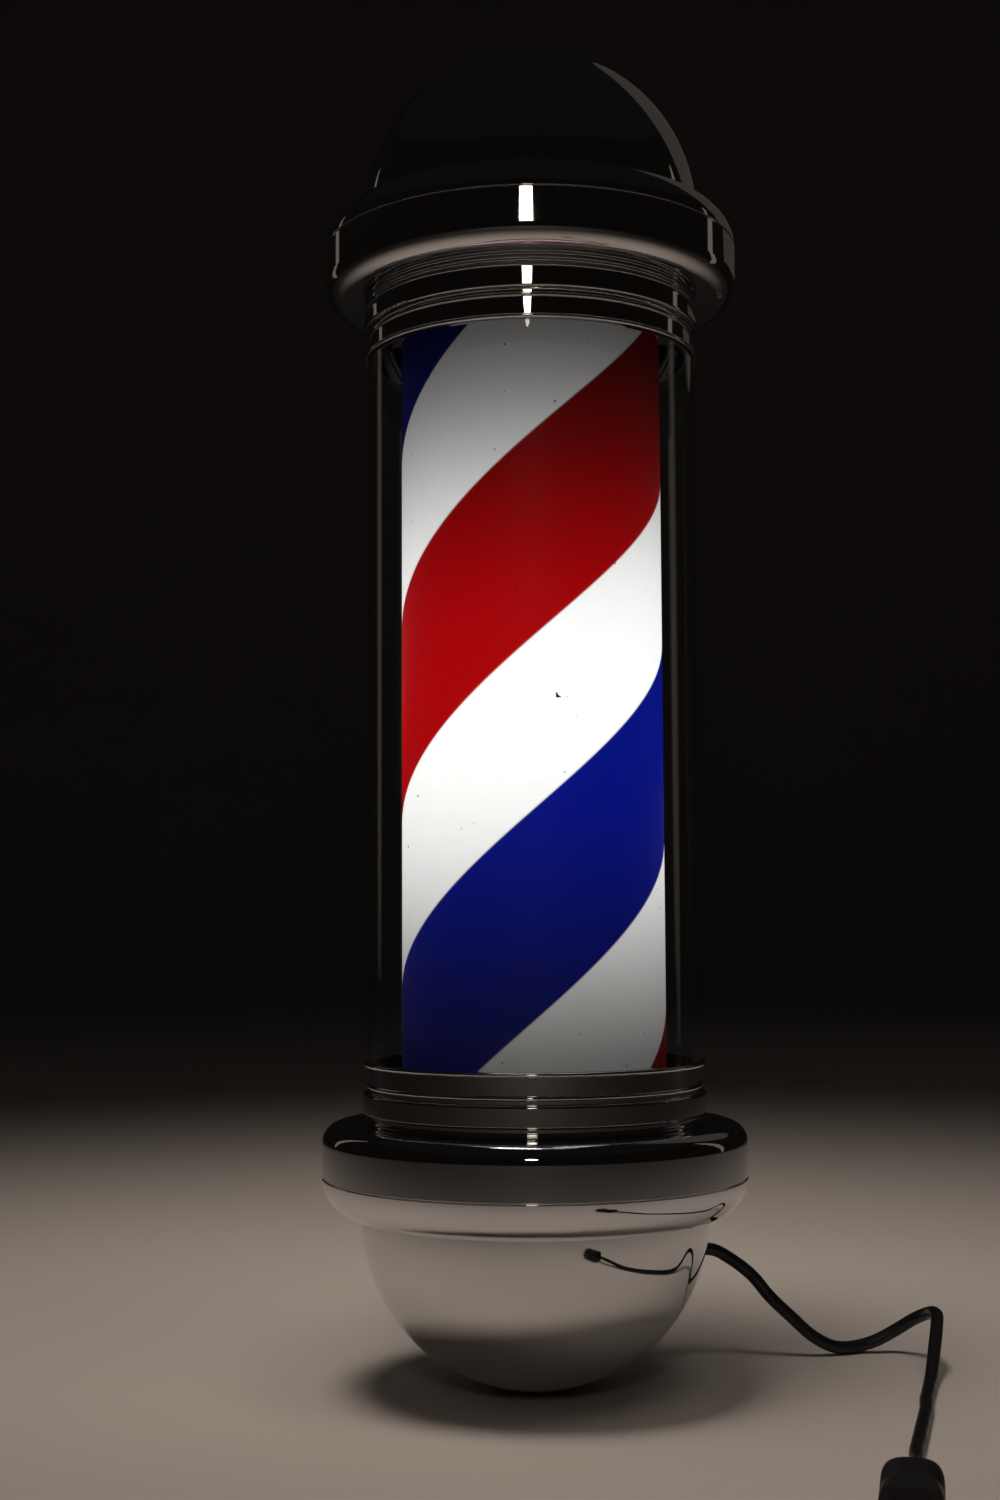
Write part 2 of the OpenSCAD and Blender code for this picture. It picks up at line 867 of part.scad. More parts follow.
module driver_lead() {
    color("firebrick") lower_cap() swept_tube([
        [0, block_y, -lead_start_depth - lead_gap],
        [0, block_y, -lead_start_depth - 3],
        [3, -54, -67],
        [14, -60, -72],
        [34, -50, -76],
        [46, -34, -74],
        [driver_x, -20, -plate_bottom - driver_size.z - 4],
        [driver_x, -20, -plate_bottom - driver_size.z - lead_gap]
    ], lead_r, 8);
}

module lamp_lead() {
    color("firebrick") lower_cap() swept_tube([
        [driver_x, 10, -plate_bottom - driver_size.z - lead_gap],
        [driver_x, 10, -plate_bottom - driver_size.z - 4],
        [43, 10, -72],
        [28, 8, -73],
        [10, 3, -71],
        [1, 0, -63],
        [0, 0, -52],
        [0, 0, 20],
        [0, 0, 70]
    ], lead_r, 8);
}

// ---- Wall brackets ----

// The bracket's folded plate, seen from the side: the arm runs level under the base plate and
// the foot stands against the wall, turned towards the clear tube.
module bracket_profile() {
    arm_low = plate_bottom + arm_t;
    difference() {
        union() {
            translate([arm_y, -arm_low]) square([axis_to_wall - bend_r - arm_y, arm_t]);
            translate([axis_to_wall - arm_t, -arm_low + bend_r]) square([arm_t, foot_h - bend_r]);
            intersection() {
                translate([axis_to_wall - bend_r, -arm_low]) square(bend_r);
                translate([axis_to_wall - bend_r, -arm_low + bend_r]) circle(r = bend_r);
            }
        }
        translate([axis_to_wall - bend_r, -arm_low + bend_r]) circle(r = bend_r - arm_t);
    }
}

// The foot's face, with round corners and the two screw holes
module foot_face() {
    difference() {
        union() {
            translate([-foot_w / 2 + foot_corner_r, 0]) square([foot_w - 2 * foot_corner_r, foot_h]);
            translate([-foot_w / 2, foot_corner_r]) square([foot_w, foot_h - 2 * foot_corner_r]);
            for (side = [-1, 1], y = [foot_corner_r, foot_h - foot_corner_r])
                translate([side * (foot_w / 2 - foot_corner_r), y]) circle(r = foot_corner_r);
        }
        for (side = [-1, 1])
            translate([side * wall_hole_x / 2, plate_bottom + arm_t - wall_hole_depth])
                circle(r = wall_hole_r);
    }
}

module wall_bracket() {
    arm_low = plate_bottom + arm_t;
    difference() {
        intersection() {
            rotate([90, 0, 90]) translate([0, 0, -foot_w / 2]) linear_extrude(foot_w) bracket_profile();
            union() {
                translate([-arm_w / 2, 0, -arm_low]) cube([arm_w, axis_to_wall, arm_t + bend_r]);
                translate([0, axis_to_wall + 1, -arm_low]) rotate([90, 0, 0])
                    linear_extrude(bend_r + 1) foot_face();
            }
        }
        for (side = [-1, 1]) translate([side * arm_bolt.x, arm_bolt.y, 0])
            depth_cylinder(bolt_r + hole_gap, plate_bottom - 1, arm_low + 1);
    }
}

module lower_wall_bracket() {
    color("gainsboro") lower_cap() wall_bracket();
}

module upper_wall_bracket() {
    color("gainsboro") upper_cap() wall_bracket();
}

module bracket_bolts() {
    head_from = plate_bottom + arm_t;
    color("gray") both_caps() for (side = [-1, 1]) translate([side * arm_bolt.x, arm_bolt.y, 0]) {
        depth_cylinder(bolt_r, plate_top - bolt_nut_h - bolt_tail, head_from + eps);
        depth_hexagon(bolt_head_r, head_from, head_from + bolt_head_h);
    }
}

module bracket_nuts() {
    color("gray") both_caps() for (side = [-1, 1]) translate([side * arm_bolt.x, arm_bolt.y, 0])
        difference() {
            depth_hexagon(bolt_nut_r, plate_top - bolt_nut_h, plate_top);
            depth_cylinder(bolt_r + fit_gap, plate_top - bolt_nut_h - 1, plate_top + 1);
        }
}

// ---- Cord and plug ----

module cord_gland() {
    color("black") along_exit() {
        translate([0, 0, gland_in]) cylinder(r = gland_r, h = boot_from - gland_in);
        translate([0, 0, gland_flange_from]) cylinder(r = gland_flange_r, h = gland_flange_t);
    }
}

module gland_nut() {
    nut_from = 80;
    nut_t = 3.5;
    color("dimgray") along_exit() translate([0, 0, nut_from]) difference() {
        cylinder(r = gland_flange_r, h = nut_t, $fn = 6);
        translate([0, 0, -1]) cylinder(r = gland_r + fit_gap, h = nut_t + 2);
    }
}

module strain_relief() {
    ribs = 5;
    rib_pitch = 4;
    notch_w = 1.4;
    notch_depth = 0.9;
    taper = (boot_end_r - boot_r) / boot_len;
    color("black") along_exit() translate([0, 0, boot_from]) difference() {
        cylinder(r1 = boot_r, r2 = boot_end_r, h = boot_len);
        for (i = [1:ribs]) translate([0, 0, i * rib_pitch - notch_w / 2]) difference() {
            cylinder(r = boot_r + 1, h = notch_w);
            cylinder(r = boot_r + taper * i * rib_pitch - notch_depth, h = notch_w);
        }
    }
}

module power_cord() {
    boot_tip = [0, 0, cap_h - dome_depth] + boot_end * exit_dir;
    color("black") on_pole() translate([0, 0, floor_z])
        swept_tube(concat([boot_tip, boot_tip + straight_run * exit_dir], cord_route), cord_r, 10);
}

module at_plug() {
    on_pole() translate([0, 0, floor_z]) translate(plug_rear) rotate([90, 0, -plug_turn]) children();
}

// Seen from above, the body has round shoulders at its rear and is square at its front.
module plug_body() {
    half = plug_w / 2;
    color("black") at_plug() rotate([-90, 0, 0]) translate([0, 0, -plug_h / 2]) linear_extrude(plug_h)
        union() {
            translate([-half, -plug_len]) square([plug_w, plug_len - plug_shoulder_r]);
            translate([-half + plug_shoulder_r, -plug_len])
                square([plug_w - 2 * plug_shoulder_r, plug_len]);
            for (side = [-1, 1]) translate([side * (half - plug_shoulder_r), -plug_shoulder_r])
                circle(r = plug_shoulder_r);
        }
}

module plug_blades() {
    color("silver") at_plug() for (side = [-1, 1])
        translate([side * blade_gap / 2 - blade_t / 2, blade_y, plug_len])
            cube([blade_t, blade_w, blade_len]);
}

module plug_earth_pin() {
    color("silver") at_plug() translate([0, -earth_drop, plug_len]) cylinder(r = earth_r, h = earth_len);
}

lower_dome();
lower_ring();
lower_collar();
lower_tube_seal();
lower_base_plate();
upper_dome();
upper_ring();
upper_collar();
upper_tube_seal();
upper_base_plate();
outer_tube();
center_post();
lower_post_flange();
upper_post_flange();
post_flange_screws();
post_set_screws();
plate_spacers();
frame_screws();
frame_nuts();
drum_tube();
stripe_film();
lower_drum_disc();
upper_drum_disc();
drum_gear();
lower_bush();
upper_bush();
thrust_washer();
gear_motor();
motor_screws();
motor_shaft();
motor_pinion();
led_carrier();
led_boards();
led_chips();
led_driver();
driver_screws();
terminal_block();
terminal_screws();
supply_lead();
motor_lead();
driver_lead();
lamp_lead();
lower_wall_bracket();
upper_wall_bracket();
bracket_bolts();
bracket_nuts();
cord_gland();
gland_nut();
strain_relief();
power_cord();
plug_body();
plug_blades();
plug_earth_pin();
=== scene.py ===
import json
import math

import bmesh
import bpy
from mathutils import Matrix, Vector


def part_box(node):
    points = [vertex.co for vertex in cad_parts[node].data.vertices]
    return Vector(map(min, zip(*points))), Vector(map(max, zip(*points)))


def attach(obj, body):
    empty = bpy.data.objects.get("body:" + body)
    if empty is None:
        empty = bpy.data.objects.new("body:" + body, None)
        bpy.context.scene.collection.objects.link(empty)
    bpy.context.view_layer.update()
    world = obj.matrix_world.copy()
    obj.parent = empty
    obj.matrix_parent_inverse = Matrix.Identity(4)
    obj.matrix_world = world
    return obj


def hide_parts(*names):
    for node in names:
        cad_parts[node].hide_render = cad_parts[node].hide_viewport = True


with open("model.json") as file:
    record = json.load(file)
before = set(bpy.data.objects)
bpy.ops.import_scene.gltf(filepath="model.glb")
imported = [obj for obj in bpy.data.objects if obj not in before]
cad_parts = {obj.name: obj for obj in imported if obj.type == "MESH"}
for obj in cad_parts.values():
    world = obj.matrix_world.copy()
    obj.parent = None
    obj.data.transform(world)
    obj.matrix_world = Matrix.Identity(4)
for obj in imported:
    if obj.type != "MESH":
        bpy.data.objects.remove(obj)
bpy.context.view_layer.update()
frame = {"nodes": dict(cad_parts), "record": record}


# ---- Places read from the frame ----

tube_low, tube_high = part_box("outer_tube")
POLE_X = (tube_low.x + tube_high.x) / 2
POLE_Y = (tube_low.y + tube_high.y) / 2
TUBE_R = (tube_high.x - tube_low.x) / 2
FLOOR_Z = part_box("lower_dome")[0].z
film_low, film_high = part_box("stripe_film")
DRUM_R = (film_high.x - film_low.x) / 2


# ---- Camera ----

CAMERA_AT = Vector((-0.0134, -1.1272, -0.1019))
CAMERA_PITCH = math.radians(4.597)
CAMERA_YAW = math.radians(-0.168)
CAMERA_ROLL = math.radians(-0.264)
CAMERA_LENS = 47.89
CAMERA_SENSOR = 36


def make_camera():
    data = bpy.data.cameras.new("camera")
    data.lens = CAMERA_LENS
    data.sensor_width = CAMERA_SENSOR
    camera = bpy.data.objects.new("camera", data)
    bpy.context.scene.collection.objects.link(camera)
    level = math.cos(CAMERA_PITCH)
    forward = Vector((
        math.sin(CAMERA_YAW) * level,
        math.cos(CAMERA_YAW) * level,
        math.sin(CAMERA_PITCH),
    ))
    right = Vector((math.cos(CAMERA_YAW), -math.sin(CAMERA_YAW), 0))
    up = right.cross(forward)
    turned_right = math.cos(CAMERA_ROLL) * right + math.sin(CAMERA_ROLL) * up
    turned_up = math.cos(CAMERA_ROLL) * up - math.sin(CAMERA_ROLL) * right
    turn = Matrix((turned_right, turned_up, -forward)).transposed()
    camera.matrix_world = Matrix.Translation(CAMERA_AT) @ turn.to_4x4()
    bpy.context.scene.camera = camera


# ---- Materials ----


class Finish:
    """A Principled material and a few helpers that build its nodes."""

    def __init__(self, name, **values):
        self.material = bpy.data.materials.new(name)
        self.material.use_nodes = True
        self.tree = self.material.node_tree
        self.shader = self.tree.nodes["Principled BSDF"]
        for socket, value in values.items():
            self.shader.inputs[socket.replace("_", " ")].default_value = value
        self.place = self.node("ShaderNodeTexCoord").outputs["Object"]

    def node(self, kind, settings=None, **inputs):
        """A node with its inputs set or linked; i0, i1 and so on are inputs by their number."""
        made = self.tree.nodes.new(kind)
        for name, value in (settings or {}).items():
            setattr(made, name, value)
        for name, value in inputs.items():
            by_number = name[0] == "i" and name[1:].isdigit()
            socket = made.inputs[int(name[1:]) if by_number else name]
            if isinstance(value, bpy.types.NodeSocket):
                self.tree.links.new(value, socket)
            else:
                socket.default_value = value
        return made

    def math(self, operation, *values):
        inputs = {f"i{i}": value for i, value in enumerate(values)}
        return self.node("ShaderNodeMath", {"operation": operation}, **inputs).outputs[0]

    def scaled(self, x, y, z):
        """The object's coordinates, stretched for a grain that has a direction."""
        made = self.node("ShaderNodeVectorMath", {"operation": "MULTIPLY"}, i0=self.place, i1=(x, y, z))
        return made.outputs[0]

    def noise(self, scale, detail=3.0, place=None):
        made = self.node("ShaderNodeTexNoise", Vector=place or self.place, Scale=scale, Detail=detail)
        return made.outputs["Fac"]

    def between(self, value, low, high, low_from=0.3, high_from=0.7):
        """value from low_from..high_from spread over low..high, smoothly."""
        made = self.node(
            "ShaderNodeMapRange", {"interpolation_type": "SMOOTHSTEP"},
            i0=value, i1=low_from, i2=high_from, i3=low, i4=high)
        return made.outputs[0]

    def mixed(self, factor, first, second):
        made = self.node("ShaderNodeMix", {"data_type": "RGBA"}, i0=factor, i6=first, i7=second)
        return made.outputs[2]

    def drive(self, socket, value):
        self.tree.links.new(value, self.shader.inputs[socket])

    def bump(self, height, strength, distance):
        made = self.node("ShaderNodeBump", Strength=strength, Distance=distance, Height=height)
        self.drive("Normal", made.outputs[0])


def chrome(name):
    """Polished plate: faint rings from spinning, and faint smudges."""
    cold, warm = (0.80, 0.81, 0.83, 1), (0.76, 0.7614, 0.7636, 1)
    polished, smudged = 0.015, 0.065
    made = Finish(name, Metallic=1.0, Roughness=0.03)
    smudges = made.noise(14, 4)
    spun = made.noise(1, 2, made.scaled(3, 3, 900))
    made.drive("Roughness", made.between(smudges, polished, smudged, 0.45, 0.75))
    made.drive("Base Color", made.mixed(made.between(made.noise(5), 0, 1), cold, warm))
    made.bump(spun, 0.04, 0.00002)
    return made.material


def metal(name, colour, roughness=0.3, grain=(30, 30, 600), darker=0.8):
    """Brushed or drawn metal with a grain in one direction."""
    made = Finish(name, Metallic=1.0, Roughness=roughness)
    lines = made.noise(1, 3, made.scaled(*grain))
    clouds = made.noise(25, 4)
    made.drive("Roughness", made.between(lines, roughness * 0.75, roughness * 1.3))
    dull = tuple(channel * darker for channel in colour)
    made.drive("Base Color", made.mixed(made.between(clouds, 0, 1), (*dull, 1), (*colour, 1)))
    made.bump(lines, 0.15, 0.00004)
    return made.material


def plastic(name, colour, roughness=0.45, grain=1400, depth=0.00003, spread=0.15):
    """Moulded plastic or rubber with a fine skin texture."""
    made = Finish(name, Roughness=roughness)
    skin = made.noise(grain, 2)
    clouds = made.noise(40, 3)
    lighter = tuple(min(1, channel * (1 + spread) + 0.002) for channel in colour)
    made.drive("Base Color", made.mixed(made.between(clouds, 0, 1), (*colour, 1), (*lighter, 1)))
    made.drive("Roughness", made.between(made.noise(90, 3), roughness * 0.85, roughness * 1.15))
    made.bump(skin, 0.35, depth)
    return made.material


def clear_acrylic():
    """Polished tube: clear to lamps, with hair-fine scratches along its length."""
    made = Finish(
        "clear_acrylic",
        Base_Color=(0.985, 0.99, 0.992, 1), Roughness=0.0, IOR=1.49, Transmission_Weight=1.0)
    scratches = made.noise(1, 2, made.scaled(900, 900, 12))
    made.drive("Roughness", made.between(scratches, 0.0, 0.02, 0.62, 0.78))
    open_to_lamps = made.node("ShaderNodeBsdfTransparent")
    ray = made.node("ShaderNodeLightPath")
    either = made.math("MAXIMUM", ray.outputs["Is Shadow Ray"], ray.outputs["Is Diffuse Ray"])
    both = made.node(
        "ShaderNodeMixShader", i0=either, i1=made.shader.outputs[0], i2=open_to_lamps.outputs[0])
    out = made.tree.nodes["Material Output"]
    made.tree.links.new(both.outputs[0], out.inputs["Surface"])
    return made.material


# The print: distances along Z on the line of the film that faces the room, in metres.
STRIPE_LEAD = 0.3604
RED_FROM = 0.0275
STRIPE_W = 0.0988
PRINT_WHITE = (0.95, 0.95, 0.94)
PRINT_RED = (0.62, 0.003, 0.010)
PRINT_BLUE = (0.002, 0.012, 0.40)
GLOW_Z = -0.003
GLOW_SPREAD = 0.116
GLOW_SHAPE = 2.5
GLOW_PEAK = 1.12
EDGE_BLUR = 0.0009
# Each ink weakens the light behind it: the power of its fall over the height, and its strength.
RED_FALL, RED_LIGHT = 1.5, 0.33
BLUE_FALL, BLUE_LIGHT = 1.25, 0.185
RED_INK_BLUE = 0.004
BLUE_INK_GREEN = 0.022
WHITE_BLUE = 0.985
DUST = (0.02, 0.015, 0.012, 1)
UNLIT = (0.02, 0.02, 0.02, 1)
UNLIT_SHARE = 0.6


def helix_phase(made):
    """0 to 1 once per turn of the helix, from the red stripe's lower edge upwards."""
    split = made.node("ShaderNodeSeparateXYZ", i0=made.place)
    across = made.math("SUBTRACT", split.outputs[0], POLE_X)
    inward = made.math("SUBTRACT", POLE_Y, split.outputs[1])
    angle = made.math("ARCTAN2", across, inward)
    turn = made.math("DIVIDE", angle, 2 * math.pi)
    height = made.math("SUBTRACT", split.outputs[2], RED_FROM)
    turns_up = made.math("DIVIDE", height, STRIPE_LEAD)
    return made.math("FRACT", made.math("SUBTRACT", turns_up, turn)), split.outputs[2]


def inside_stripe(made, phase, centre):
    """1 inside a stripe and 0 outside, with the film's slightly soft edge."""
    half = STRIPE_W / STRIPE_LEAD / 2
    blur = EDGE_BLUR / STRIPE_LEAD
    away = made.math("ABSOLUTE", made.math("SUBTRACT", phase, centre))
    nearest = made.math("MINIMUM", away, made.math("SUBTRACT", 1.0, away))
    return made.between(nearest, 1.0, 0.0, half - blur, half + blur)


def glow(made, height):
    """Brightness of the film over its height: even round the middle, and falling off to the ends."""
    from_middle = made.math("SUBTRACT", height, GLOW_Z)
    distance = made.math("ABSOLUTE", made.math("DIVIDE", from_middle, GLOW_SPREAD))
    fall = made.math("EXPONENT", made.math("MULTIPLY", made.math("POWER", distance, GLOW_SHAPE), -1.0))
    return made.math("MULTIPLY", fall, GLOW_PEAK)


def through_ink(made, light, fall, strength):
    return made.math("MULTIPLY", made.math("POWER", light, fall), strength)


def colour_of(made, red, green, blue):
    return made.node("ShaderNodeCombineXYZ", i0=red, i1=green, i2=blue).outputs[0]


def stripe_print(name, colour):
    """The printed film, lit from behind. colour is the one that this piece mostly shows."""
    made = Finish(
        name, Roughness=0.5, Specular_IOR_Level=0.2, Base_Color=(*colour, 1), Emission_Strength=1.0)
    phase, height = helix_phase(made)
    half = STRIPE_W / STRIPE_LEAD / 2
    red = inside_stripe(made, phase, half)
    blue = inside_stripe(made, phase, 0.5 + half)
    specks = made.between(made.noise(420, 0), 0, 1, 0.855, 0.87)
    mottle = made.between(made.noise(160, 3), 0.97, 1.0)
    ink = made.mixed(blue, made.mixed(red, (*PRINT_WHITE, 1), (*PRINT_RED, 1)), (*PRINT_BLUE, 1))
    made.drive("Base Color", made.mixed(UNLIT_SHARE, made.mixed(specks, ink, DUST), UNLIT))
    light = glow(made, height)
    through_red = through_ink(made, light, RED_FALL, RED_LIGHT)
    through_blue = through_ink(made, light, BLUE_FALL, BLUE_LIGHT)
    white_light = colour_of(made, light, light, made.math("MULTIPLY", light, WHITE_BLUE))
    red_light = colour_of(made, through_red, 0.0, made.math("MULTIPLY", through_red, RED_INK_BLUE))
    blue_light = colour_of(made, 0.0, made.math("MULTIPLY", through_blue, BLUE_INK_GREEN), through_blue)
    lit = made.mixed(blue, made.mixed(red, white_light, red_light), blue_light)
    clean = made.math("MULTIPLY", mottle, made.math("SUBTRACT", 1.0, specks))
    seen = made.node("ShaderNodeVectorMath", {"operation": "SCALE"}, i0=lit, Scale=clean)
    made.drive("Emission Color", seen.outputs[0])
    return made.material


def led_glow():
    made = Finish("led_phosphor", Roughness=0.3, Base_Color=(0.95, 0.8, 0.4, 1), Emission_Strength=1.5)
    warm, cold = (1, 0.95, 0.85, 1), (1, 0.98, 0.93, 1)
    made.drive("Emission Color", made.mixed(made.between(made.noise(300), 0, 1), warm, cold))
    return made.material


MATERIALS = {
    "chrome_shell": chrome("chrome_shell"),
    "clear_acrylic": clear_acrylic(),
    "opal_plastic": plastic("opal_plastic", (0.85, 0.85, 0.83), 0.4),
    "white_plastic": plastic("white_plastic", (0.78, 0.78, 0.75), 0.4),
    "gear_nylon": plastic("gear_nylon", (0.80, 0.79, 0.72), 0.35),
    "bush_brass": metal("bush_brass", (0.78, 0.55, 0.22), 0.25),
    "black_rubber": plastic("black_rubber", (0.02, 0.02, 0.02), 0.7),
    "zinc_plate": metal("zinc_plate", (0.60, 0.61, 0.62), 0.35, (200, 8, 8)),
    "post_steel": metal("post_steel", (0.62, 0.62, 0.63), 0.28, (400, 400, 6)),
    "screw_steel": metal("screw_steel", (0.55, 0.55, 0.57), 0.3),
    "spacer_aluminium": metal("spacer_aluminium", (0.72, 0.73, 0.74), 0.35),
    "bracket_steel": metal("bracket_steel", (0.62, 0.63, 0.64), 0.3, (8, 8, 300)),
    "motor_can": metal("motor_can", (0.55, 0.55, 0.56), 0.33),
    "led_phosphor": led_glow(),
    "lead_blue": plastic("lead_blue", (0.03, 0.09, 0.35), 0.4),
    "lead_red": plastic("lead_red", (0.42, 0.02, 0.015), 0.4),
    "cord_black": plastic("cord_black", (0.010, 0.010, 0.011), 0.38, 900, 0.00002, 0.3),
    "moulded_black": plastic("moulded_black", (0.012, 0.012, 0.013), 0.5, 1500, 0.00005, 0.3),
    "plug_nickel": metal("plug_nickel", (0.70, 0.68, 0.62), 0.22, (20, 500, 20)),
}
SLOT_OF = {row["node"]: row["material_slot"] for row in frame["record"]["subparts"]}


def dress_cad_nodes():
    """Every CAD node that stays gets its slot's material."""
    for name, node in frame["nodes"].items():
        slot = SLOT_OF[name]
        if slot in MATERIALS:
            node.data.materials.clear()
            node.data.materials.append(MATERIALS[slot])


# ---- Mesh helpers ----


def add_piece(name, verts, faces, material, body, replaces=(), sharp=35):
    """A mesh that rides on a body; its edges sharper than sharp degrees stay hard."""
    mesh = bpy.data.meshes.new(name)
    mesh.from_pydata([tuple(v) for v in verts], [], faces)
    mesh.validate()
    work = bmesh.new()
    work.from_mesh(mesh)
    bmesh.ops.recalc_face_normals(work, faces=work.faces)
    mark_sharp(work, sharp)
    work.to_mesh(mesh)
    work.free()
    mesh.materials.append(material)
    piece = bpy.data.objects.new(name, mesh)
    bpy.context.scene.collection.objects.link(piece)
    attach(piece, body)
    if replaces:
        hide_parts(*replaces)
    return piece


def mark_sharp(work, degrees):
    limit = math.radians(degrees)
    for face in work.faces:
        face.smooth = True
    for edge in work.edges:
        edge.smooth = len(edge.link_faces) == 2 and edge.calc_face_angle(0) < limit


def arc(centre, radius, start, end, steps):
    """Points on a round stretch of an outline, from start to end in degrees."""
    turns = [math.radians(start + (end - start) * i / steps) for i in range(steps + 1)]
    return [(centre[0] + radius * math.cos(t), centre[1] + radius * math.sin(t)) for t in turns]


def turned(outline, segments=192):
    """Vertices and faces of a closed outline of (radius, height) turned round +Z."""
    count = len(outline)
    verts = []
    for i in range(segments):
        angle = 2 * math.pi * i / segments
        verts += [Vector((r * math.cos(angle), r * math.sin(angle), z)) for r, z in outline]
    faces = []
    for i in range(segments):
        here, there = i * count, (i + 1) % segments * count
        for k in range(count):
            after = (k + 1) % count
            faces.append((here + k, there + k, there + after, here + after))
    return verts, faces


def on_pole(verts):
    return [v + Vector((POLE_X, POLE_Y, 0)) for v in verts]


def swept(path, radius, sides=16):
    """A closed round tube along a path, with its rings carried along so that it doesn't twist."""
    last = len(path) - 1
    verts = []
    side = None
    for i, point in enumerate(path):
        along = (path[min(i + 1, last)] - path[max(i - 1, 0)]).normalized()
        if side is None:
            side = along.orthogonal().normalized()
        side = (side - side.dot(along) * along).normalized()
        up = along.cross(side)
        for k in range(sides):
            turn = 2 * math.pi * k / sides
            verts.append(point + radius * (math.cos(turn) * side + math.sin(turn) * up))
    faces = []
    for i in range(last):
        for k in range(sides):
            a, b = i * sides + k, i * sides + (k + 1) % sides
            faces.append((a, b, b + sides, a + sides))
    faces.append(tuple(range(sides)))
    faces.append(tuple(last * sides + k for k in range(sides)))
    return verts, faces


def smooth_path(points, steps=6):
    """A smooth curve through the points."""
    ends = [2 * points[0] - points[1], *points, 2 * points[-1] - points[-2]]
    path = []
    for a, b, c, d in zip(ends, ends[1:], ends[2:], ends[3:]):
        for i in range(steps):
            t = i / steps
            path.append(0.5 * (2 * b + (c - a) * t + (2 * a - 5 * b + 4 * c - d) * t * t
                               + (3 * b - a - 3 * c + d) * t ** 3))
    return [*path, points[-1]]


def kept_within(path, points):
    """The path without the small overshoot outside its own points' box."""
    low = [min(p[axis] for p in points) for axis in range(3)]
    high = [max(p[axis] for p in points) for axis in range(3)]
    return [Vector([min(max(p[axis], low[axis]), high[axis]) for axis in range(3)]) for p in path]


def path_length(path):
    return sum((b - a).length for a, b in zip(path, path[1:]))


# ---- Cord, strain relief and plug ----

CORD_R = 0.00325
EXIT_TURN = math.radians(35)
EXIT_FALL = math.radians(15)
DOME_R = 0.086
DOME_CENTRE = Vector((POLE_X, POLE_Y, FLOOR_Z + DOME_R))
EXIT_DIR = Vector((
    math.cos(EXIT_FALL) * math.cos(EXIT_TURN),
    math.cos(EXIT_FALL) * math.sin(EXIT_TURN),
    -math.sin(EXIT_FALL),
))
BOOT_FROM = 0.08805
BOOT_LEN = 0.024
STRAIGHT_RUN = 0.012
# x and y from the pole's axis and height above the floor
CORD_ROUTE = [
    (0.114, 0.072, 0.0425),
    (0.124, 0.069, 0.031),
    (0.135, 0.069, 0.0205),
    (0.147, 0.068, 0.010),
    (0.160, 0.071, 0.004),
    (0.175, 0.076, 0.0045),
    (0.189, 0.076, 0.0105),
    (0.200, 0.069, 0.019),
    (0.206, 0.057, 0.0245),
    (0.206, 0.041, 0.0265),
    (0.203, 0.028, 0.022),
    (0.199, 0.016, 0.013),
    (0.195, 0.003, 0.006),
    (0.191, -0.011, 0.004),
    (0.187, -0.026, 0.0035),
    (0.183, -0.041, 0.0035),
    (0.180, -0.056, 0.0035),
    (0.176, -0.071, 0.0035),
    (0.172, -0.086, 0.0035),
    (0.168, -0.101, 0.0035),
    (0.164, -0.116, 0.0035),
    (0.160, -0.131, 0.0035),
    (0.157, -0.146, 0.004),
    (0.153, -0.162, 0.0065),
    (0.149, -0.177, 0.0095),
    (0.145, -0.193, 0.0115),
    (0.143, -0.208, 0.012),
]


def along_exit(verts):
    """Local +Z points out of the dome along the cord's exit."""
    turn = EXIT_DIR.to_track_quat("Z", "Y").to_matrix()
    return [DOME_CENTRE + turn @ v for v in verts]


def make_cord():
    exit_point = DOME_CENTRE + (BOOT_FROM + BOOT_LEN) * EXIT_DIR
    base = Vector((POLE_X, POLE_Y, FLOOR_Z))
    points = [exit_point, exit_point + STRAIGHT_RUN * EXIT_DIR, *(base + Vector(p) for p in CORD_ROUTE)]
    path = kept_within(smooth_path(points), points)
    verts, faces = swept(path, CORD_R)
    piece = add_piece("power_cord_sheath", verts, faces, MATERIALS["cord_black"], "pole",
                      ["power_cord"])
    return piece, path


def make_strain_relief():
    """Ribbed rubber boot: a tapered sleeve with rounded ribs round it."""
    wide, narrow, ribs, groove = 0.0062, 0.0044, 6, 0.0009
    edge, plain_end = 0.0006, 0.0012
    outline = [(CORD_R, 0), *arc((wide - edge, edge), edge, -90, 0, 4)]
    steps = 96
    for i in range(steps + 1):
        t = i / steps
        wave = 0.5 + 0.5 * math.cos(2 * math.pi * ribs * t)
        rib = min(1.0, 1.6 * wave)
        taper = wide + (narrow - wide) * t
        outline.append((taper - groove * (1 - rib), plain_end + (BOOT_LEN - 2 * plain_end) * t))
    outline += arc((narrow - edge, BOOT_LEN - edge), edge, 0, 90, 4)
    outline.append((CORD_R, BOOT_LEN))
    verts, faces = turned(outline, 64)
    shifted = [v + Vector((0, 0, BOOT_FROM)) for v in verts]
    return add_piece("strain_relief_boot", along_exit(shifted), faces, MATERIALS["moulded_black"], "pole",
                     ["strain_relief"])


def make_gland():
    """Cord gland: a sleeve through the dome with a round flange on its outside."""
    sleeve_r, flange_r, round_r, chamfer = 0.006, 0.0095, 0.0007, 0.0003
    inner_end, flange_from = 0.078, 0.08585
    outline = [
        (CORD_R, inner_end), *arc((sleeve_r - round_r, inner_end + round_r), round_r, -90, 0, 4),
        (sleeve_r, flange_from),
        (flange_r - chamfer, flange_from), (flange_r, flange_from + chamfer),
        *arc((flange_r - round_r, BOOT_FROM - round_r), round_r, 0, 90, 5),
        (CORD_R, BOOT_FROM),
    ]
    verts, faces = turned(outline, 64)
    return add_piece("cord_gland_moulding", along_exit(verts), faces, MATERIALS["moulded_black"], "pole",
                     ["cord_gland"])


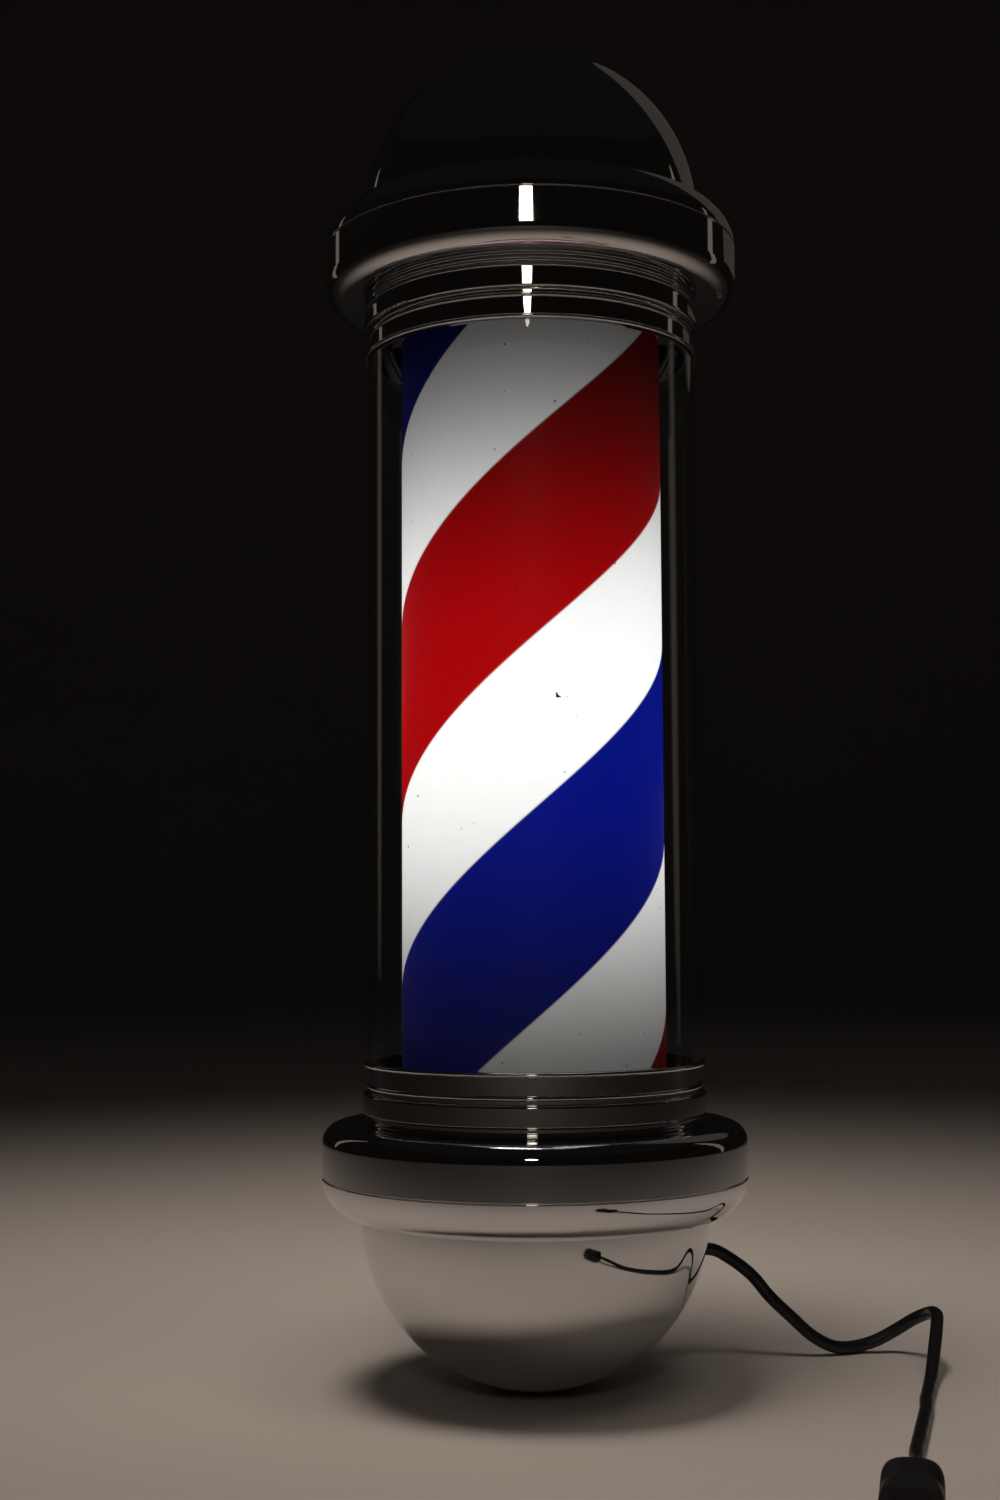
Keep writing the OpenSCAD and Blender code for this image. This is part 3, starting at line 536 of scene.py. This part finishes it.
PLUG_REAR = Vector((0.143, -0.208, 0.012))
PLUG_TURN = math.radians(12)
PLUG_W = 0.0245
PLUG_H = 0.024
PLUG_LEN = 0.045
# How far the blades and the pin reach back into the moulding
CONTACT_ROOT = 0.002


def squircle(half_w, half_h, power, sides):
    """A rounded rectangle as one smooth ring of points."""
    ring = []
    for k in range(sides):
        t = 2 * math.pi * k / sides
        x, y = (math.copysign(abs(part) ** (2 / power), part) for part in (math.cos(t), math.sin(t)))
        ring.append((half_w * x, half_h * y))
    return ring


def make_plug():
    """Moulded body: round shoulders at the cord end, grip ribs along its sides and a square face."""
    sides = 72
    half_w, half_h = PLUG_W / 2, PLUG_H / 2
    # Squareness of the section at the rear, along the grip and at the front face
    rear_power, grip_power, front_power = 2.6, 3.2, 3.6
    # Each station: distance from the rear, half the width, half the height and squareness
    stations = []
    rear_steps, shoulder = 10, 0.009
    for i in range(rear_steps + 1):
        t = i / rear_steps * math.pi / 2
        inset = shoulder * (1 - math.sin(t))
        power = rear_power + (grip_power - rear_power) * math.sin(t)
        stations.append((shoulder * (1 - math.cos(t)), half_w - inset, half_h - 0.8 * inset, power))
    grip_from, grip_to, ribs, rib_depth = 0.013, 0.031, 5, 0.0009
    grip_steps = 60
    for i in range(grip_steps + 1):
        t = i / grip_steps
        groove = 0.5 - 0.5 * math.cos(2 * math.pi * ribs * t)
        depth = rib_depth * min(1.0, 1.5 * groove)
        along = grip_from + (grip_to - grip_from) * t
        stations.append((along, half_w - depth, half_h - 0.15 * depth, grip_power))
    edge, edge_steps = 0.0012, 4
    for i in range(edge_steps + 1):
        t = i / edge_steps * math.pi / 2
        inset = edge * (1 - math.cos(t))
        stations.append((PLUG_LEN - edge + edge * math.sin(t), half_w - inset, half_h - inset, front_power))
    verts = []
    for along, across, tall, power in stations:
        verts += [Vector((x, up, along)) for x, up in squircle(across, tall, power, sides)]
    faces = []
    for i in range(len(stations) - 1):
        for k in range(sides):
            a, b = i * sides + k, i * sides + (k + 1) % sides
            faces.append((a, b, b + sides, a + sides))
    faces.append(tuple(range(sides)))
    last = (len(stations) - 1) * sides
    faces.append(tuple(last + k for k in range(sides)))
    return add_piece("plug_moulding", at_plug(verts), faces, MATERIALS["moulded_black"], "pole",
                     ["plug_body"], 50)


def at_plug(verts):
    """Local +Z points out of the plug's front face and local +Y points up."""
    turn = Matrix.Rotation(-PLUG_TURN, 3, "Z") @ Matrix.Rotation(math.pi / 2, 3, "X")
    start = Vector((POLE_X, POLE_Y, FLOOR_Z)) + PLUG_REAR
    return [start + turn @ v for v in verts]


def blade(middle):
    """One flat blade with a round-cornered tip and chamfered sides, and the hole near its tip."""
    low, high, tip, corner = 0.001, 0.00735, PLUG_LEN + 0.017, 0.0016
    half, chamfer = 0.00075, 0.0002
    hole_r, hole_from_tip = 0.0016, 0.0045
    outline = [(low, PLUG_LEN - CONTACT_ROOT), (high, PLUG_LEN - CONTACT_ROOT)]
    outline += arc((high - corner, tip - corner), corner, 0, 90, 6)
    outline += arc((low + corner, tip - corner), corner, 90, 180, 6)
    hole = arc(((low + high) / 2, tip - hole_from_tip), hole_r, 0, 345, 23)
    work = bmesh.new()
    layers = []
    for x, inset in ((-half, chamfer), (-half + chamfer, 0), (half - chamfer, 0), (half, chamfer)):
        ring = []
        for y, z in outline:
            shift_y = inset if y < (low + high) / 2 else -inset
            ring.append(work.verts.new((middle + x, y + shift_y, z - (inset if z > PLUG_LEN else 0))))
        layers.append(ring)
    count = len(outline)
    for ring, after in zip(layers, layers[1:]):
        for k in range(count):
            work.faces.new((ring[k], ring[(k + 1) % count], after[(k + 1) % count], after[k]))
    holes = [[work.verts.new((middle + x, y, z)) for y, z in hole] for x in (-half, half)]
    for k in range(len(hole)):
        after = (k + 1) % len(hole)
        work.faces.new((holes[0][k], holes[0][after], holes[1][after], holes[1][k]))
    for ring, rim in ((layers[0], holes[0]), (layers[-1], holes[1])):
        edges = [
            work.edges.get((loop[k - 1], loop[k])) for loop in (ring, rim) for k in range(len(loop))]
        bmesh.ops.triangle_fill(work, edges=edges, use_beauty=True)
    work.verts.index_update()
    verts = [v.co.copy() for v in work.verts]
    faces = [tuple(v.index for v in face.verts) for face in work.faces]
    work.free()
    return verts, faces


def make_plug_contacts():
    """The two flat blades and the round earth pin."""
    blade_gap = 0.0127
    for name, middle in (("plug_blade_left", -blade_gap / 2), ("plug_blade_right", blade_gap / 2)):
        verts, faces = blade(middle)
        yield add_piece(name, at_plug(verts), faces, MATERIALS["plug_nickel"], "pole",
                        ["plug_blades"])
    pin_r, bore_r, round_r, drop = 0.0024, 0.0006, 0.0018, 0.0075
    tip = PLUG_LEN + 0.020
    outline = [(bore_r, PLUG_LEN - CONTACT_ROOT), (pin_r, PLUG_LEN - CONTACT_ROOT)]
    outline += arc((pin_r - round_r, tip - round_r), round_r, 0, 90, 8)
    verts, faces = turned(outline, 32)
    lowered = [v - Vector((0, drop, 0)) for v in verts]
    yield add_piece("plug_pin", at_plug(lowered), faces, MATERIALS["plug_nickel"], "pole",
                    ["plug_earth_pin"])


# ---- Clear tube and printed film ----


def make_clear_tube():
    wall = 0.0025
    edge = 0.0003
    outline = [
        (TUBE_R - wall, tube_low.z + edge), (TUBE_R - wall + edge, tube_low.z),
        (TUBE_R - edge, tube_low.z), (TUBE_R, tube_low.z + edge),
        (TUBE_R, tube_high.z - edge), (TUBE_R - edge, tube_high.z),
        (TUBE_R - wall + edge, tube_high.z), (TUBE_R - wall, tube_high.z - edge),
    ]
    verts, faces = turned(outline, 256)
    return add_piece("clear_tube", on_pole(verts), faces, MATERIALS["clear_acrylic"], "pole",
                     ["outer_tube"])


def stripe_columns(low_on_front, width):
    """Turns round the pole, with the stripe's lowest and highest point there, inside the film's ends."""
    rise = STRIPE_LEAD / (2 * math.pi)
    edges = (low_on_front, low_on_front + width)
    corners = [(end - edge) / rise for end in (film_low.z, film_high.z) for edge in edges]
    first, last = min(corners), max(corners)
    step = 2 * math.pi / 256
    between = [step * i for i in range(math.ceil(first / step), math.floor(last / step) + 1)]
    columns = []
    for angle in sorted(set(corners + between)):
        low = max(film_low.z, low_on_front + rise * angle)
        high = min(film_high.z, low_on_front + width + rise * angle)
        columns.append((angle, low, max(low, high)))
    return columns


def make_stripe(name, material, low_on_front, width):
    """One helical stripe of the film as a thin closed shell."""
    thick = 0.0003
    rows = 8
    verts, index = [], {}

    def corner(layer, column, row):
        angle, low, high = columns[column]
        z = low + (high - low) * row / rows
        key = (layer, column, 0 if high - low < 1e-7 else row)
        if key not in index:
            radius = DRUM_R - layer * thick
            index[key] = len(verts)
            verts.append(Vector((POLE_X + radius * math.sin(angle), POLE_Y - radius * math.cos(angle), z)))
        return index[key]

    columns = stripe_columns(low_on_front, width)
    faces = []

    def add(*ring):
        kept = [v for i, v in enumerate(ring) if v != ring[i - 1]]
        if len(kept) > 2:
            faces.append(tuple(kept))

    for c in range(len(columns) - 1):
        for r in range(rows):
            add(*(corner(0, c + i, r + j) for i, j in ((0, 0), (1, 0), (1, 1), (0, 1))))
            add(*(corner(1, c + i, r + j) for i, j in ((0, 0), (0, 1), (1, 1), (1, 0))))
        for row in (0, rows):
            add(corner(0, c, row), corner(0, c + 1, row), corner(1, c + 1, row), corner(1, c, row))
    return add_piece(name, verts, faces, material, "drum", ["stripe_film"])


def make_film():
    white_w = STRIPE_LEAD / 2 - STRIPE_W
    white = stripe_print("print_white", PRINT_WHITE)
    bands = [
        ("film_red", stripe_print("print_red", PRINT_RED), RED_FROM, STRIPE_W),
        ("film_white_above", white, RED_FROM + STRIPE_W, white_w),
        ("film_blue", stripe_print("print_blue", PRINT_BLUE), RED_FROM + STRIPE_LEAD / 2, STRIPE_W),
        ("film_white_below", white, RED_FROM - white_w, white_w),
    ]
    for name, material, low, width in bands:
        make_stripe(name, material, low, width)


# ---- Studio ----


def make_floor():
    """A pale floor that curves up all round into a far wall, so that no horizon shows."""
    made = Finish("studio_floor", Roughness=0.75, Specular_IOR_Level=0.3)
    darker, lighter = (0.60, 0.57, 0.54, 1), (0.64, 0.61, 0.58, 1)
    made.drive("Base Color", made.mixed(made.between(made.noise(1.2, 4), 0, 1), darker, lighter))
    made.bump(made.noise(60, 4), 0.1, 0.0005)
    flat, cove, wall = 5.0, 3.0, 4.0
    outline = [(r, 0) for r in (0, 1, 2, 3.5)]
    outline += [*arc((flat, cove), cove, -90, 0, 24), (flat + cove, cove + wall)]
    segments = 96
    count = len(outline)
    verts = []
    for i in range(segments):
        angle = 2 * math.pi * i / segments
        verts += [(r * math.cos(angle), r * math.sin(angle), FLOOR_Z + z) for r, z in outline]
    faces = []
    for i in range(segments):
        here, there = i * count, (i + 1) % segments * count
        for k in range(count - 1):
            faces.append((here + k, there + k, there + k + 1, here + k + 1))
    mesh = bpy.data.meshes.new("studio_floor")
    mesh.from_pydata(verts, [], faces)
    work = bmesh.new()
    work.from_mesh(mesh)
    bmesh.ops.remove_doubles(work, verts=work.verts, dist=0.0001)
    mark_sharp(work, 60)
    work.to_mesh(mesh)
    work.free()
    mesh.materials.append(made.material)
    floor = bpy.data.objects.new("studio_floor", mesh)
    bpy.context.scene.collection.objects.link(floor)


def soft_light(name, at, target, size, power, colour, spread=180, in_reflections=True):
    """An oval panel of light; spread is the angle of its beam in degrees."""
    data = bpy.data.lights.new(name, "AREA")
    data.shape = "ELLIPSE"
    data.size, data.size_y = size
    data.energy = power
    data.color = colour
    data.spread = math.radians(spread)
    light = bpy.data.objects.new(name, data)
    bpy.context.scene.collection.objects.link(light)
    light.location = at
    light.rotation_euler = (Vector(target) - Vector(at)).to_track_quat("-Z", "Y").to_euler()
    light.visible_glossy = in_reflections
    light.visible_camera = False


def make_lights():
    """A window in front for the highlights, a lamp above for the floor, and dim panels for the edges."""
    middle = (POLE_X, POLE_Y, 0)
    lamp, edge = (1, 0.86, 0.75), (1, 0.90, 0.80)
    soft_light("front_window", (-0.12, -2.9, 1.16), middle, (0.34, 0.36), 2.4, (1, 0.88, 0.74))
    soft_light("overhead", (-0.3, -0.35, 2.1), (0, 0.12, -0.3), (0.9, 0.9), 1.9, lamp, 44, False)
    soft_light("cord_fill", (0.5, -0.55, 1.2), (0.12, -0.25, -0.3), (0.6, 0.6), 0.25, lamp, 60, False)
    soft_light("left_strip", (-1.8, 1.5, 0.6), middle, (0.22, 1.7), 0.11, edge)
    soft_light("right_strip", (2.0, 0.8, 0.5), middle, (0.22, 1.7), 0.11, edge)
    soft_light("back_panel", (1.3, 1.9, 1.7), middle, (1.9, 1.9), 0.30, edge)
    world = bpy.data.worlds.new("studio")
    world.use_nodes = True
    background = world.node_tree.nodes["Background"]
    background.inputs["Color"].default_value = (0.0045, 0.004, 0.004, 1)
    background.inputs["Strength"].default_value = 1.0
    bpy.context.scene.world = world
    bpy.context.scene.view_settings.view_transform = "Standard"


# ---- The scene ----

make_camera()
cord, cord_path = make_cord()
boot = make_strain_relief()
make_gland()
plug = make_plug()
contacts = list(make_plug_contacts())
tuple(cord_path[0])
path_length(cord_path)
[tuple(p) for p in cord_path]
dress_cad_nodes()
make_clear_tube()
make_film()
make_floor()
make_lights()
